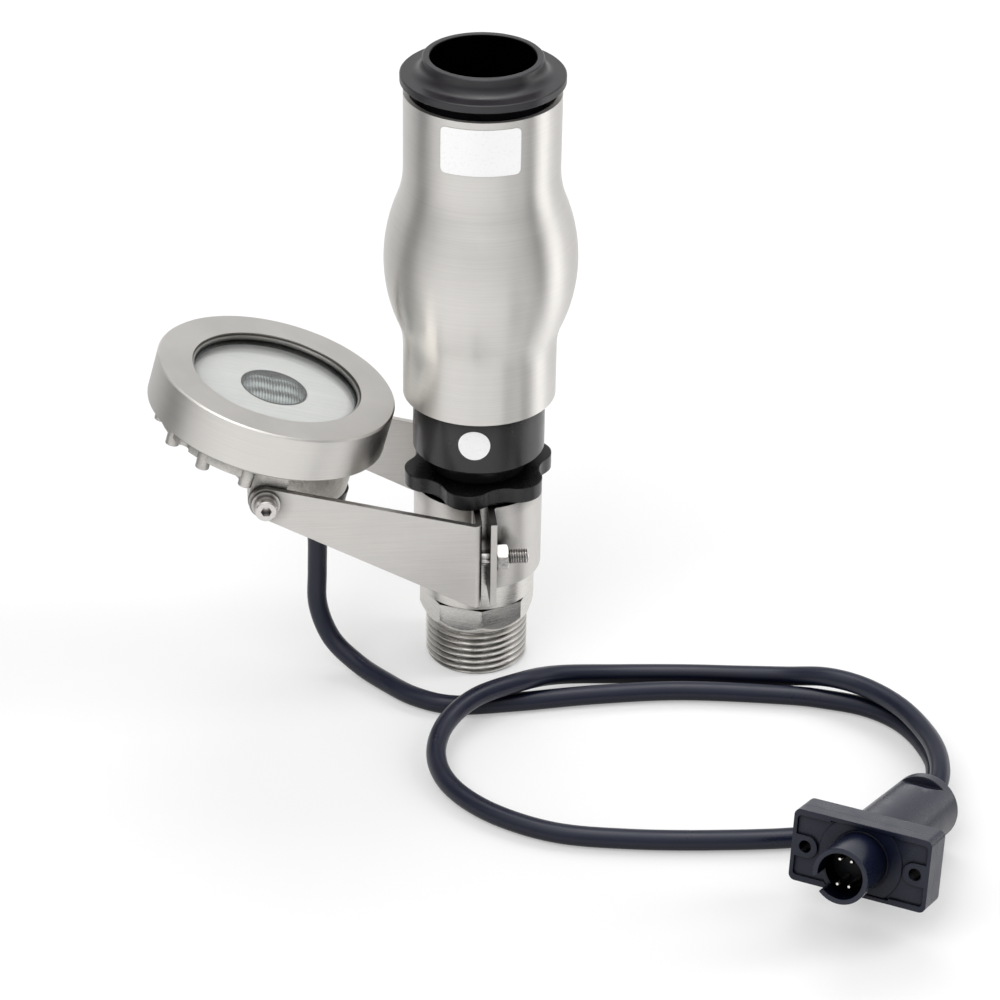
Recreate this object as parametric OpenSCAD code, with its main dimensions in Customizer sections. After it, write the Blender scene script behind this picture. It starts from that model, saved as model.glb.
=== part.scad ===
// Underwater pond light on an aerating fountain nozzle.
// Millimetres. Z is the axis of the nozzle and the origin is the centre of the thread's lower end.
// The lamp stands on the -X side; the connector lies on the floor in front, on the -Y side.

/* [Base] */
// Outer radius of the pipe thread
thread_r = 16.62; // [14:0.01:18]
// Length of the threaded end
thread_len = 17; // [12:0.5:22]
// Width across the flats of the octagon
octagon_flats = 34.5; // [33.6:0.1:36]
// Height of the octagon
octagon_h = 9; // [6:0.5:12]
// Outer radius of the base pipe
pipe_r = 18.6; // [18:0.1:19.5]
// Height of the top of the base pipe
pipe_top = 66.3; // [62:0.1:70]
// Radius of the waterway in the base
waterway_r = 12.5; // [10:0.1:13]

/* [Nozzle] */
// Radius of the neck that screws into the base
neck_r = 15.5; // [15:0.1:16]
// Length of the neck inside the base
neck_depth = 21; // [18:0.5:23]
// Free height of the neck above the lock nut
neck_gap = 6.3; // [6:0.1:10]
// How far the nozzle can be screwed down
travel_down = 5; // [2:0.5:6]
// Outer radius of the collar
collar_r = 21; // [20:0.1:22]
// Height of the collar
collar_h = 19.5; // [15:0.1:22]
// Bore of the nozzle sleeve
sleeve_bore_r = 12; // [10:0.1:12.5]

/* [Lock nut] */
// Thickness of the star nut
star_h = 5; // [4:0.1:6]
// Radius over the tips of the star nut
star_tip_r = 24.4; // [23.5:0.1:25]
// Radius at the valleys of the star nut
star_valley_r = 20; // [19:0.1:20.5]

/* [Jacket] */
// Outer radius of the straight ends
jacket_r = 24.2; // [23.5:0.1:25]
// Wall of the jacket
jacket_wall = 1.5; // [1:0.1:1.6]
// Height of the jacket
jacket_h = 102.5; // [98:0.5:106]
// Outer radius of the belly
belly_r = 30.2; // [28:0.1:31.5]
// Height of the belly's widest place
belly_z = 144.8; // [140:0.1:148]
// Radius of the belly's arc
belly_arc = 53; // [48:1:60]
// Radius of the hollow above the belly
hollow_upper = 30; // [20:1:36]
// Radius of the hollow below the belly
hollow_lower = 22; // [14:1:28]

/* [Outlet] */
// Radius of the mouth
mouth_r = 16.13; // [15.5:0.01:16.5]
// Wall of the outlet tube
outlet_wall = 2.37; // [2:0.01:2.6]
// Height of the mouth above the outlet flange
outlet_rise = 5.35; // [4.4:0.05:7]
// Outer radius of the outlet flange
outlet_flange_r = 25.25; // [24.5:0.05:26]
// Thickness of the outlet flange
outlet_flange_h = 2.6; // [2:0.1:3]
// Air gap between jacket and flange
air_gap = 3.4; // [2:0.1:4]

/* [Bracket] */
// Thickness of the sheet
sheet = 2; // [1.5:0.1:2.2]
// Lower edge of the clamp
clamp_low = 36; // [34:0.5:38]
// Height of the clamp
clamp_h = 30; // [26:0.5:30]
// Half of the gap between the clamp ears
ear_gap = 1.35; // [1:0.05:1.6]
// Least inner distance of each fork arm from the middle
fork_half = 29.6; // [28:0.1:30.4]
// Distance of the tilt axis from the nozzle axis
pivot_x = 69.1; // [68:0.1:72]
// Height of the tilt axis
pivot_z = 77.4; // [76:0.1:80]
// Radius of the arm's round end
arm_tip_r = 5.2; // [5:0.1:6]
// Distance of the clamp bolts from the band
bolt_reach = 4.55; // [4.3:0.05:5]
// Height of the clamp bolts
bolt_z = 50.8; // [46:0.1:56]
// Radius of the clamp bolts
bolt_r = 2.5; // [2:0.1:2.5]

/* [Lamp] */
// Tilt of the lamp toward the nozzle
lamp_tilt = 15; // [5:1:20]
// Depth of the tilt axis below the bezel face
pivot_depth = 28; // [27:0.1:29]
// Offset of the tilt axis from the lamp's axis, toward the nozzle
pivot_a = 2; // [0:0.1:3]
// Outer radius of the bezel
bezel_r = 38.4; // [38:0.1:39]
// Height of the bezel
bezel_h = 14.3; // [13:0.1:15]
// Width of the bezel's face
bezel_face = 11.9; // [11:0.1:13]
// How far the glass reaches under the bezel's lip
glass_lap = 4.9; // [4.2:0.1:5]
// Thickness of the glass
glass_t = 4; // [3:0.1:4.2]
// Step from the bezel in to the housing's dish
dish_step = 9.4; // [9.2:0.1:10]
// Depth of the dish
dish_depth = 21.5; // [20:0.5:22]
// Radius of the drum behind the dish
drum_r = 19.5; // [18.5:0.1:20]
// Depth of the drum's rear face
drum_depth = 34; // [32:0.5:36]
// Distance of the cable gland in from the dish's side
gland_inset = 5; // [4.8:0.1:6]

/* [Cable and connector] */
// Radius of the cable
cable_r = 3.15; // [2.8:0.05:3.15]
// Width of the connector flange
plug_w = 43; // [41:0.5:44]
// Height of the connector flange
plug_h = 22.4; // [22:0.1:24]
// Thickness of the connector flange
plug_t = 10.8; // [9:0.1:12]
// Radius of the connector shroud
shroud_r = 8.5; // [8:0.1:9]
// Length of the shroud in front of the flange
shroud_len = 14.8; // [12:0.1:15]
// Radius of the boot at its rear end
boot_r = 10.6; // [9.5:0.1:10.8]
// Radius of the connector's screw holes
plug_hole_r = 1.9; // [1.5:0.1:2.1]

/* [Fits] */
// Radial clearance of sliding and turning fits
slide_fit = 0.08; // [0.03:0.01:0.1]
// Radial clearance of the clamp on the pipe and of pressed pieces
close_fit = 0.05; // [0.02:0.01:0.08]
// Gap between faces that turn on each other
face_gap = 0.1; // [0.05:0.01:0.2]

/* [Hidden] */
$fn = 96;
eps = 0.01;

// Heights of the stack on the nozzle axis
octagon_top = thread_len + octagon_h;
gasket_h = 1;
star_low = pipe_top + gasket_h + close_fit;
star_top = star_low + star_h;
neck_low = pipe_top - neck_depth;
collar_low = star_top + neck_gap;
collar_top = collar_low + collar_h;
socket_low = neck_low - travel_down - 1;
socket_r = neck_r + slide_fit;
oring_d = 2;
neck_seal_z = pipe_top - 6.3;

// Jacket and the spigot that carries it
jacket_low = collar_top;
jacket_top = jacket_low + jacket_h;
jacket_in = jacket_r - jacket_wall;
spigot_r = jacket_in - slide_fit;
spigot_low = collar_top + 2.2;
spigot_top = collar_top + 13.9;
jacket_seal_z = spigot_low + 5;
belly_c = belly_r - belly_arc;
function hollow_rise(r) = sqrt((belly_arc + r)^2 - (jacket_r - belly_c + r)^2);
function hollow_angle(r) = atan2(hollow_rise(r), jacket_r + r - belly_c);

// Jet insert in the sleeve
jet_pocket_r = 14.5;
jet_seal_low = spigot_top - 8;
jet_seal_h = 0.8;
jet_low = jet_seal_low + jet_seal_h;
jet_tip = jet_low + 16;
jet_mouth_r = 5.5;
jet_throat_r = sleeve_bore_r - 1.5;

// Outlet tube
outlet_r = mouth_r + outlet_wall;
outlet_low = spigot_top + 14;
outlet_flange_low = jacket_top + air_gap;
outlet_flange_top = outlet_flange_low + outlet_flange_h;
outlet_top = outlet_flange_top + outlet_rise;
cove_r = 3.4;
leg_step = 1;

// Clamp band and fork; the arms clear the dish
dish_r = bezel_r - dish_step;
arm_in = max(fork_half, dish_r + 0.6);
band_in = pipe_r + close_fit;
band_out = band_in + sheet;
bolt_y = band_out + bolt_reach;
clamp_top = clamp_low + clamp_h;
ear_out = ear_gap + sheet;
bend_in = 0.5;
bend_x = ear_out + bend_in;
bend_y = arm_in - bend_in;
arm_out = arm_in + sheet;
strap_y = arm_out - 0.6;
ear_fillet = 1;
ear_fillet_x = ear_out + ear_fillet;
ear_fillet_y = sqrt((band_out + ear_fillet)^2 - ear_fillet_x^2);
bolt_hole_r = bolt_r + 0.1;
hex_flats = 8;
hex_r = hex_flats / 2 / cos(30);
bolt_head_h = 3.5;
bolt_nut_h = 4;
bolt_end = 14;

// Tilt axis
pivot_hole_r = 2.05;
pivot_shank_r = pivot_hole_r - 0.1;
washer_r = 4.5;
washer_h = 1;
washer_y = arm_out + face_gap;
pivot_head_r = 3.5;
pivot_head_h = 4;
tab_y = arm_in - 0.3;
tab_r = 5.5;
tab_t = tab_y - dish_r + 5.7;

// Lamp stack; depths below the face of the bezel
opening_r = bezel_r - bezel_face;
glass_r = opening_r + glass_lap;
lip_t = 2.2;
lip_step = 0.8;
pocket_r = glass_r + 0.2;
glass_low = lip_t + glass_t;
lens_gasket_t = 1;
rim_top = glass_low + lens_gasket_t;
ceiling = rim_top + 1.4;
skirt_r = bezel_r - 2;
flange_r = skirt_r - 0.4;
flange_low = bezel_h + 1.7;
rim_in = glass_r - 3.9;
rim_out = pocket_r - 0.3;
seal_in = rim_out;
seal_out = seal_in + 1.4;
plate_low = rim_top + 0.3;
plate_t = 1;
plate_r = rim_in - 0.1;
optic_r = 10.6;
optic_hole_r = optic_r + 0.2;
optic_top = glass_low + 0.2;
board_top = 13;
board_t = 1.6;
board_low = board_top + board_t;
cavity_1 = rim_in - 2;
cavity_2 = drum_r - 2.8;
cavity_3 = cavity_2 - 3;
driver_low = 21;
cavity_low = drum_depth - 5;
drum_a = dish_r + 2 - drum_r;
collimator_a = 4.7;
housing_screw_r = 1.25;
housing_screw_at = flange_r - 1.8;
housing_screw_turns = [40, 140.4, 219.6, 320];
housing_screw_seat = flange_low - 2.6;
wall_r = flange_r - 2.6;
wall_low = 20;
wall_turn = 160;
lug_r = 2.2;
lug_at = wall_r - 1.4;
lug_low = 22.8;
lug_turn = 26.4;
housing_head_r = 2;
gland_r = 8;
gland_a = dish_r - gland_inset;
gland_bore = cable_r + close_fit;
gland_spigot_r = 5.5;
gland_low = drum_depth + 4.5;
tail_depth = gland_low + 7.5;

// Connector
plug_at = [97.8, -156.6, 23.7];
plug_turn = -34.5;
plug_nose = 14;
plug_roll = -4;
plug_front_t = 4.4;
plug_hole_x = 17.2;
boot_len = 53;
recess = 0.8;
recess_len = 8;
recess_end = 4;
pad_r = 13;
pad_h = 0.35;
shroud_seat_r = shroud_r + 0.4;
insert_r = shroud_r - 1.5;
pin_r = 0.8;
pin_x = 1.8;
pin_z = 3.9;

// Lie of the cable; every bend is wider than four cable diameters
floor_z = 3.3;
function in_lamp(a, depth) =
  let (c = a - pivot_a, d = pivot_depth - depth)
  [-pivot_x + c * cos(lamp_tilt) + d * sin(lamp_tilt), 0, pivot_z - c * sin(lamp_tilt) + d * cos(lamp_tilt)];
function in_plug(y) =
  plug_at + y * [-sin(plug_turn) * cos(plug_nose), cos(plug_turn) * cos(plug_nose), -sin(plug_nose)];
cable_top = in_lamp(gland_a, tail_depth);
cable_end = in_plug(boot_len);
drop_route = [
  cable_top, [-52, 0, 44], [-52.2, -0.5, 33], [-52.2, -2.5, 21], [-48, -6.5, 10.5], [-40, -13.5, 4.8],
  [-32, -22, floor_z]
];
run_route = [
  [-32, -22, floor_z], [-22.5, -32, floor_z], [-10, -37.8, floor_z], [10, -37.4, floor_z],
  [36, -35.2, floor_z], [64, -35, floor_z], [96, -39.8, floor_z], [110, -43.6, floor_z], [122, -49, floor_z],
  [131, -58, floor_z], [136, -70.5, floor_z], [137, -85, floor_z], [130, -101, floor_z],
  [113, -112.5, floor_z], [90, -116.6, floor_z], [62, -116.2, floor_z], [36, -113.6, floor_z],
  [14, -108.5, floor_z], [-4, -97, floor_z], [-15.2, -82.5, 3.6], [-18.6, -68, 4.9], [-14.8, -55, 7.7],
  [-4.5, -44.6, 10.4], [11, -36.6, 10.5], [24, -28.6, 7.2], [44, -24.2, 3.7], [66, -25.2, floor_z],
  [84, -29, 4.4], [98, -33, 6], [110, -40, 9.7], [121, -47.4, 10.2], [130, -59, 10.2], [135, -73, 10.4],
  [136.4, -87, 11.2], [134, -101.5, 11.6], cable_end
];
cable_sides = 10;

function unit(v) = v / norm(v);
function catmull(p0, p1, p2, p3, t) =
  0.5 * (2 * p1 + (p2 - p0) * t + (2 * p0 - 5 * p1 + 4 * p2 - p3) * t * t
    + (3 * p1 - p0 - 3 * p2 + p3) * t * t * t);
// Smooth line through the route points, cut into steps; head and tail set the directions of its ends
function smooth(p, head, tail, steps) =
  let (q = concat([head], p, [tail]), n = len(p))
  [for (i = [0 : n - 2], k = [0 : i == n - 2 ? steps : steps - 1])
    catmull(q[i], q[i + 1], q[i + 2], q[i + 3], k / steps)];
function normals(t, first) =
  [for (i = 0, n = unit(first - (first * t[0]) * t[0]); i < len(t);
      i = i + 1, n = i < len(t) ? unit(n - (n * t[i]) * t[i]) : n) n];
function line_length(c, i = 0) = i >= len(c) - 1 ? 0 : norm(c[i + 1] - c[i]) + line_length(c, i + 1);

drop_head = in_lamp(gland_a, tail_depth - 12);
drop_line = smooth(drop_route, drop_head, run_route[1], 2);
run_line = smooth(run_route, drop_route[5], in_plug(boot_len - 22), 2);
drop_tangents = concat(
  [unit(cable_top - drop_head)],
  [for (i = [1 : len(drop_line) - 2]) unit(drop_line[i + 1] - drop_line[i - 1])],
  [unit(run_route[1] - drop_route[5])]);
run_tangents = concat(
  [unit(run_route[1] - drop_route[5])],
  [for (i = [1 : len(run_line) - 2]) unit(run_line[i + 1] - run_line[i - 1])],
  [unit(in_plug(0) - in_plug(1))]);
drop_normals = normals(drop_tangents, [0, 1, 0]);
run_normals = normals(run_tangents, drop_normals[len(drop_normals) - 1]);
echo(cable_length = line_length(drop_line) + line_length(run_line) + tail_depth - 18);
echo(cable_gap = min([for (i = [0 : len(run_line) - 1], j = [0 : len(run_line) - 1])
  if (j > i + 8) norm(run_line[i] - run_line[j])]) - 2 * cable_r);
echo(cable_lowest = min([for (p = run_line) p[2]]) - cable_r);

module cable_tube(line, tangent, normal) {
  n = len(line);
  m = cable_sides;
  rings = [for (i = [0 : n - 1]) let (b = cross(tangent[i], normal[i]))
    for (k = [0 : m - 1]) line[i] + cable_r * (cos(360 * k / m) * normal[i] + sin(360 * k / m) * b)];
  sides = [for (i = [0 : n - 2], k = [0 : m - 1], h = [0, 1])
    let (a = i * m + k, b = i * m + (k + 1) % m)
    h == 0 ? [a, a + m, b + m] : [a, b + m, b]];
  ends = [[for (k = [0 : m - 1]) k], [for (k = [m - 1 : -1 : 0]) (n - 1) * m + k]];
  polyhedron(points = rings, faces = concat(sides, ends));
}

module ring(r_out, r_in, low, high) {
  translate([0, 0, low])
    difference() {
      cylinder(r = r_out, h = high - low);
      translate([0, 0, -1])
        cylinder(r = r_in, h = high - low + 2);
    }
}

function arc(c, r, a0, a1, n) =
  [for (i = [0 : n]) c + r * [cos(a0 + (a1 - a0) * i / n), sin(a0 + (a1 - a0) * i / n)]];
function tangent_point(c, r, p, side) =
  let (v = p - c, a = atan2(v[1], v[0]) + side * acos(r / norm(v)))
  c + r * [cos(a), sin(a)];

module in_lamp_frame() {
  translate([-pivot_x, 0, pivot_z])
    rotate([0, lamp_tilt, 0])
      translate([-pivot_a, 0, pivot_depth])
        children();
}

module in_plug_frame() {
  translate(plug_at)
    rotate([0, 0, plug_turn])
      rotate([-plug_nose, 0, 0])
        rotate([0, plug_roll, 0])
          children();
}

// Base with thread, octagon and pipe

module base_fitting() {
  corner = octagon_flats / 2 / cos(22.5);
  color("silver")
    difference() {
      union() {
        cylinder(r = thread_r, h = thread_len);
        intersection() {
          translate([0, 0, thread_len])
            cylinder(r = corner, h = octagon_h, $fn = 8);
          rotate_extrude()
            polygon([
              [0, thread_len], [thread_r + 0.3, thread_len], [corner + 0.1, thread_len + 2.8],
              [corner + 0.1, octagon_top], [0, octagon_top]
            ]);
        }
        translate([0, 0, octagon_top])
          cylinder(r1 = octagon_flats / 2 + 0.15, r2 = pipe_r, h = 1);
        translate([0, 0, octagon_top + 1])
          cylinder(r = pipe_r, h = pipe_top - octagon_top - 1);
      }
      translate([0, 0, -1])
        cylinder(r = waterway_r, h = pipe_top + 2);
      translate([0, 0, socket_low])
        cylinder(r = socket_r, h = pipe_top - socket_low + 1);
      ring(socket_r + oring_d - 0.3, socket_r - 1, neck_seal_z - oring_d / 2, neck_seal_z + oring_d / 2);
    }
}

module neck_seal() {
  color("dimgray")
    ring(socket_r + oring_d - 0.3, socket_r, neck_seal_z - oring_d / 2, neck_seal_z + oring_d / 2);
}

module nut_gasket() {
  color("dimgray")
    ring(pipe_r - 0.2, socket_r + 0.3, pipe_top, pipe_top + gasket_h);
}

// Lock nut: six round lobes joined by round valleys

module star_lock_nut() {
  lobe_r = 7.8;
  lobe_at = star_tip_r - lobe_r;
  q = lobe_at * cos(30);
  valley_fit = (lobe_at^2 - 2 * star_valley_r * q + star_valley_r^2 - lobe_r^2)
    / (2 * (lobe_r + q - star_valley_r));
  valley_at = star_valley_r + valley_fit;
  color("#1a1a1c")
    translate([0, 0, star_low])
      rotate([0, 0, -106.5])
        difference() {
          union() {
            linear_extrude(star_h)
              polygon([for (k = [0 : 5], h = [0, 1])
                let (a = 60 * k + 30 * h, d = h == 0 ? lobe_at : valley_at) d * [cos(a), sin(a)]]);
            for (k = [0 : 5])
              rotate([0, 0, 60 * k])
                translate([lobe_at, 0, 0])
                  cylinder(r = lobe_r, h = star_h);
          }
          for (k = [0 : 5])
            rotate([0, 0, 60 * k + 30])
              translate([valley_at, 0, -1])
                cylinder(r = valley_fit, h = star_h + 2);
          translate([0, 0, -1])
            cylinder(r = neck_r + slide_fit, h = star_h + 2);
        }
}

// Nozzle: sleeve, jet, jacket and outlet

module nozzle_sleeve() {
  color("#2a2a2c")
    difference() {
      rotate_extrude()
        polygon([
          [0, neck_low], [neck_r - 0.8, neck_low], [neck_r, neck_low + 0.8], [neck_r, collar_low],
          [collar_r - 0.6, collar_low], [collar_r, collar_low + 0.6], [collar_r, spigot_low - 1.2],
          [spigot_r, spigot_low], [spigot_r, spigot_top], [0, spigot_top]
        ]);
      translate([0, 0, neck_low - 1])
        cylinder(r = sleeve_bore_r, h = spigot_top - neck_low + 2);
      translate([0, 0, jet_seal_low])
        cylinder(r = jet_pocket_r, h = spigot_top - jet_seal_low + 1);
      ring(spigot_r + 1, spigot_r - oring_d + 0.4, jacket_seal_z - oring_d / 2, jacket_seal_z + oring_d / 2);
    }
}

module jet_seal() {
  color("dimgray")
    ring(jet_pocket_r - 0.2, sleeve_bore_r + 0.5, jet_seal_low, jet_low);
}

module jet_nozzle() {
  color("#3a3a3e")
    difference() {
      rotate_extrude()
        polygon([
          [0, jet_low], [jet_pocket_r - close_fit, jet_low], [jet_pocket_r - close_fit, jet_low + 3],
          [jet_pocket_r - 3.4, jet_low + 3], [jet_mouth_r + 1.6, jet_tip], [0, jet_tip]
        ]);
      rotate_extrude()
        polygon([
          [0, jet_low - 1], [jet_throat_r, jet_low - 1], [jet_throat_r, jet_low + 1],
          [jet_mouth_r, jet_tip - 2],
          [jet_mouth_r, jet_tip + 1], [0, jet_tip + 1]
        ]);
    }
}

// Outline of the jacket, drawn in by t from its outer face
function jacket_side(t) =
  let (up = hollow_angle(hollow_upper), down = hollow_angle(hollow_lower))
  concat(
    [[jacket_r - t, jacket_low]],
    arc([jacket_r + hollow_lower, belly_z - hollow_rise(hollow_lower)], hollow_lower + t, 180, 180 - down, 8),
    arc([belly_c, belly_z], belly_arc - t, -down, up, 28),
    arc([jacket_r + hollow_upper, belly_z + hollow_rise(hollow_upper)], hollow_upper + t, 180 + up, 180, 8),
    [[jacket_r - t, jacket_top]]);

module jacket() {
  outer = jacket_side(0);
  inner = jacket_side(jacket_wall);
  color("silver")
    rotate_extrude()
      polygon(concat(outer, [for (i = [len(inner) - 1 : -1 : 0]) inner[i]]));
}

module jacket_seal() {
  color("dimgray")
    ring(spigot_r + 0.02, spigot_r - oring_d + 0.4, jacket_seal_z - oring_d / 2, jacket_seal_z + oring_d / 2);
}

module outlet_tube() {
  color("#35343a")
    difference() {
      rotate_extrude()
        polygon(concat(
          [[mouth_r + leg_step, spigot_top], [outlet_r, spigot_top], [outlet_r, outlet_flange_low],
            [outlet_flange_r - 0.3, outlet_flange_low], [outlet_flange_r, outlet_flange_low + 0.3],
            [outlet_flange_r, outlet_flange_top - 0.3], [outlet_flange_r - 0.3, outlet_flange_top]],
          arc([outlet_r + cove_r, outlet_flange_top + cove_r], cove_r, 270, 180, 8),
          [[outlet_r, outlet_top - 0.4], [outlet_r - 0.4, outlet_top], [mouth_r + 0.4, outlet_top],
            [mouth_r, outlet_top - 0.4], [mouth_r, outlet_low], [mouth_r + leg_step, outlet_low]]));
      for (k = [0 : 2])
        rotate([0, 0, 120 * k + 15])
          translate([0, 0, spigot_top - 1])
            rotate_extrude(angle = 90)
              translate([mouth_r - 2, 0])
                square([outlet_wall + 4, outlet_low - spigot_top]);
    }
}

// Clamp and fork

// Half of the clamp band with one ear on each side, on the +X side
module half_band(reach) {
  difference() {
    union() {
      ring(band_out, band_in, clamp_low, clamp_top);
      for (s = [-1, 1])
        translate([ear_gap, s > 0 ? band_in + 0.55 : -reach, clamp_low])
          cube([sheet, reach - band_in - 0.55, clamp_h]);
      for (s = [-1, 1])
        scale([1, s, 1])
          translate([0, 0, clamp_low])
            difference() {
              linear_extrude(clamp_h)
                polygon([
                  [ear_gap + sheet / 2, ear_fillet_y], [ear_fillet_x, ear_fillet_y],
                  [ear_fillet_x, ear_fillet_y] * (band_out - 1) / (band_out + ear_fillet),
                  [ear_gap + sheet / 2, band_in + 0.55]
                ]);
              translate([ear_fillet_x, ear_fillet_y, -1])
                cylinder(r = ear_fillet, h = clamp_h + 2, $fn = 48);
            }
    }
    translate([ear_gap - 50, -50, clamp_low - 1])
      cube([50, 100, clamp_h + 2]);
    for (s = [-1, 1])
      translate([0, s * bolt_y, bolt_z])
        rotate([0, 90, 0])
          cylinder(r = bolt_hole_r, h = 20, $fn = 48);
  }
}

module fork_arm() {
  tip = [-pivot_x, pivot_z];
  low = [-bend_x, clamp_low];
  high = [-bend_x, clamp_top];
  translate([0, arm_out, 0])
    rotate([90, 0, 0])
      difference() {
        union() {
          linear_extrude(sheet)
            polygon([low, high, tangent_point(tip, arm_tip_r - 0.05, high, 1), tip,
              tangent_point(tip, arm_tip_r - 0.05, low, -1)]);
          translate([tip[0], tip[1], 0])
            cylinder(r = arm_tip_r, h = sheet);
        }
        translate([tip[0], tip[1], -1])
          cylinder(r = pivot_hole_r, h = sheet + 2, $fn = 48);
      }
}

module fork_bracket() {
  color("silver") {
    mirror([1, 0, 0])
      half_band(bend_y);
    for (s = [0, 1])
      mirror([0, s, 0]) {
        translate([-bend_x, bend_y, clamp_low])
          rotate_extrude(angle = 90)
            translate([bend_in, 0])
              square([sheet, clamp_h]);
        fork_arm();
      }
  }
}

module clamp_strap() {
  color("silver")
    half_band(strap_y);
}

module clamp_bolts() {
  color("gainsboro")
    for (s = [-1, 1])
      translate([0, s * bolt_y, bolt_z])
        rotate([0, 90, 0]) {
          translate([0, 0, -ear_out - bolt_head_h])
            cylinder(r = hex_r, h = bolt_head_h, $fn = 6);
          translate([0, 0, -ear_out - 1])
            cylinder(r = bolt_r, h = ear_out + 1 + bolt_end - 0.6, $fn = 48);
          translate([0, 0, bolt_end - 0.6])
            cylinder(r1 = bolt_r, r2 = bolt_r - 0.6, h = 0.6, $fn = 48);
        }
}

module clamp_nuts() {
  color("gainsboro")
    for (s = [-1, 1])
      translate([ear_out, s * bolt_y, bolt_z])
        rotate([0, 90, 0])
          difference() {
            cylinder(r = hex_r, h = bolt_nut_h, $fn = 6);
            translate([0, 0, -1])
              cylinder(r = bolt_r + close_fit, h = bolt_nut_h + 2, $fn = 48);
          }
}

// Lamp, drawn with the face of the bezel at zero and depth along -Z

module bezel_ring() {
  color("#b8b4ae")
    in_lamp_frame()
      difference() {
        rotate_extrude()
          polygon([
            [opening_r + lip_step, 0], [bezel_r - 0.5, 0], [bezel_r, -0.5], [bezel_r, -bezel_h],
            [skirt_r, -bezel_h], [skirt_r, -ceiling], [pocket_r, -ceiling], [pocket_r, -lip_t],
            [opening_r, -lip_t], [opening_r, -lip_step], [opening_r + lip_step, -lip_step]
          ]);
        for (turn = housing_screw_turns)
          rotate([0, 0, turn])
            translate([housing_screw_at, 0, -ceiling - 1])
              cylinder(r = housing_screw_r + close_fit, h = 5.1, $fn = 32);
      }
}

module lens_glass() {
  color("#cfe6e0", 0.4)
    in_lamp_frame()
      translate([0, 0, -glass_low])
        cylinder(r = glass_r, h = glass_t);
}

module lens_gasket() {
  color("dimgray")
    in_lamp_frame()
      ring(glass_r, rim_in + 0.1, -rim_top, -glass_low);
}

module reflector_plate() {
  color("#dcdcd8")
    in_lamp_frame()
      ring(plate_r, optic_hole_r, -plate_low, plate_t - plate_low);
}

module led_optic() {
  color("#9aa5a2")
    in_lamp_frame() {
      translate([0, 0, -optic_top - 1.6])
        cylinder(r = optic_r, h = 1.6);
      ring(optic_r, optic_r - 0.9, -board_top, -optic_top - 1.5);
      for (k = [0 : 3])
        rotate([0, 0, 45 + 90 * k])
          translate([collimator_a, 0, -board_top + 0.9])
            cylinder(r1 = 1.9, r2 = 4.4, h = board_top - optic_top - 2.4, $fn = 48);
    }
}

module led_chips() {
  color("#f2e9b8")
    in_lamp_frame()
      for (k = [0 : 3])
        rotate([0, 0, 45 + 90 * k])
          translate([collimator_a - 1.2, -1.2, -board_top])
            cube([2.4, 2.4, 0.7]);
}

module led_board() {
  color("#e8e8e4")
    in_lamp_frame()
      translate([0, 0, -board_low])
        cylinder(r = cavity_1 - 0.3, h = board_t);
}

module driver_board() {
  color("#2f6b45")
    in_lamp_frame() {
      translate([0, 0, -driver_low])
        difference() {
          translate([drum_a, 0, 0])
            cylinder(r = cavity_2 - 0.3, h = board_t);
          translate([gland_a, 0, -1])
            cylinder(r = cable_r + 1, h = board_t + 2);
        }
      translate([drum_a, 0, board_t - driver_low - eps]) {
        translate([-10, -7, 0])
          cube([9, 8, 2.6]);
        translate([3, -9, 0])
          cube([6, 6, 2]);
        translate([2, 8, 0])
          cylinder(r = 3.4, h = 3);
      }
    }
}

module housing_tab() {
  translate([pivot_a, tab_y, 0])
    rotate([90, 0, 0]) {
      translate([-tab_r, -pivot_depth, 0])
        cube([2 * tab_r, pivot_depth - flange_low + 1, tab_t]);
      translate([0, -pivot_depth, 0])
        cylinder(r = tab_r, h = tab_t);
    }
}

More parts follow.
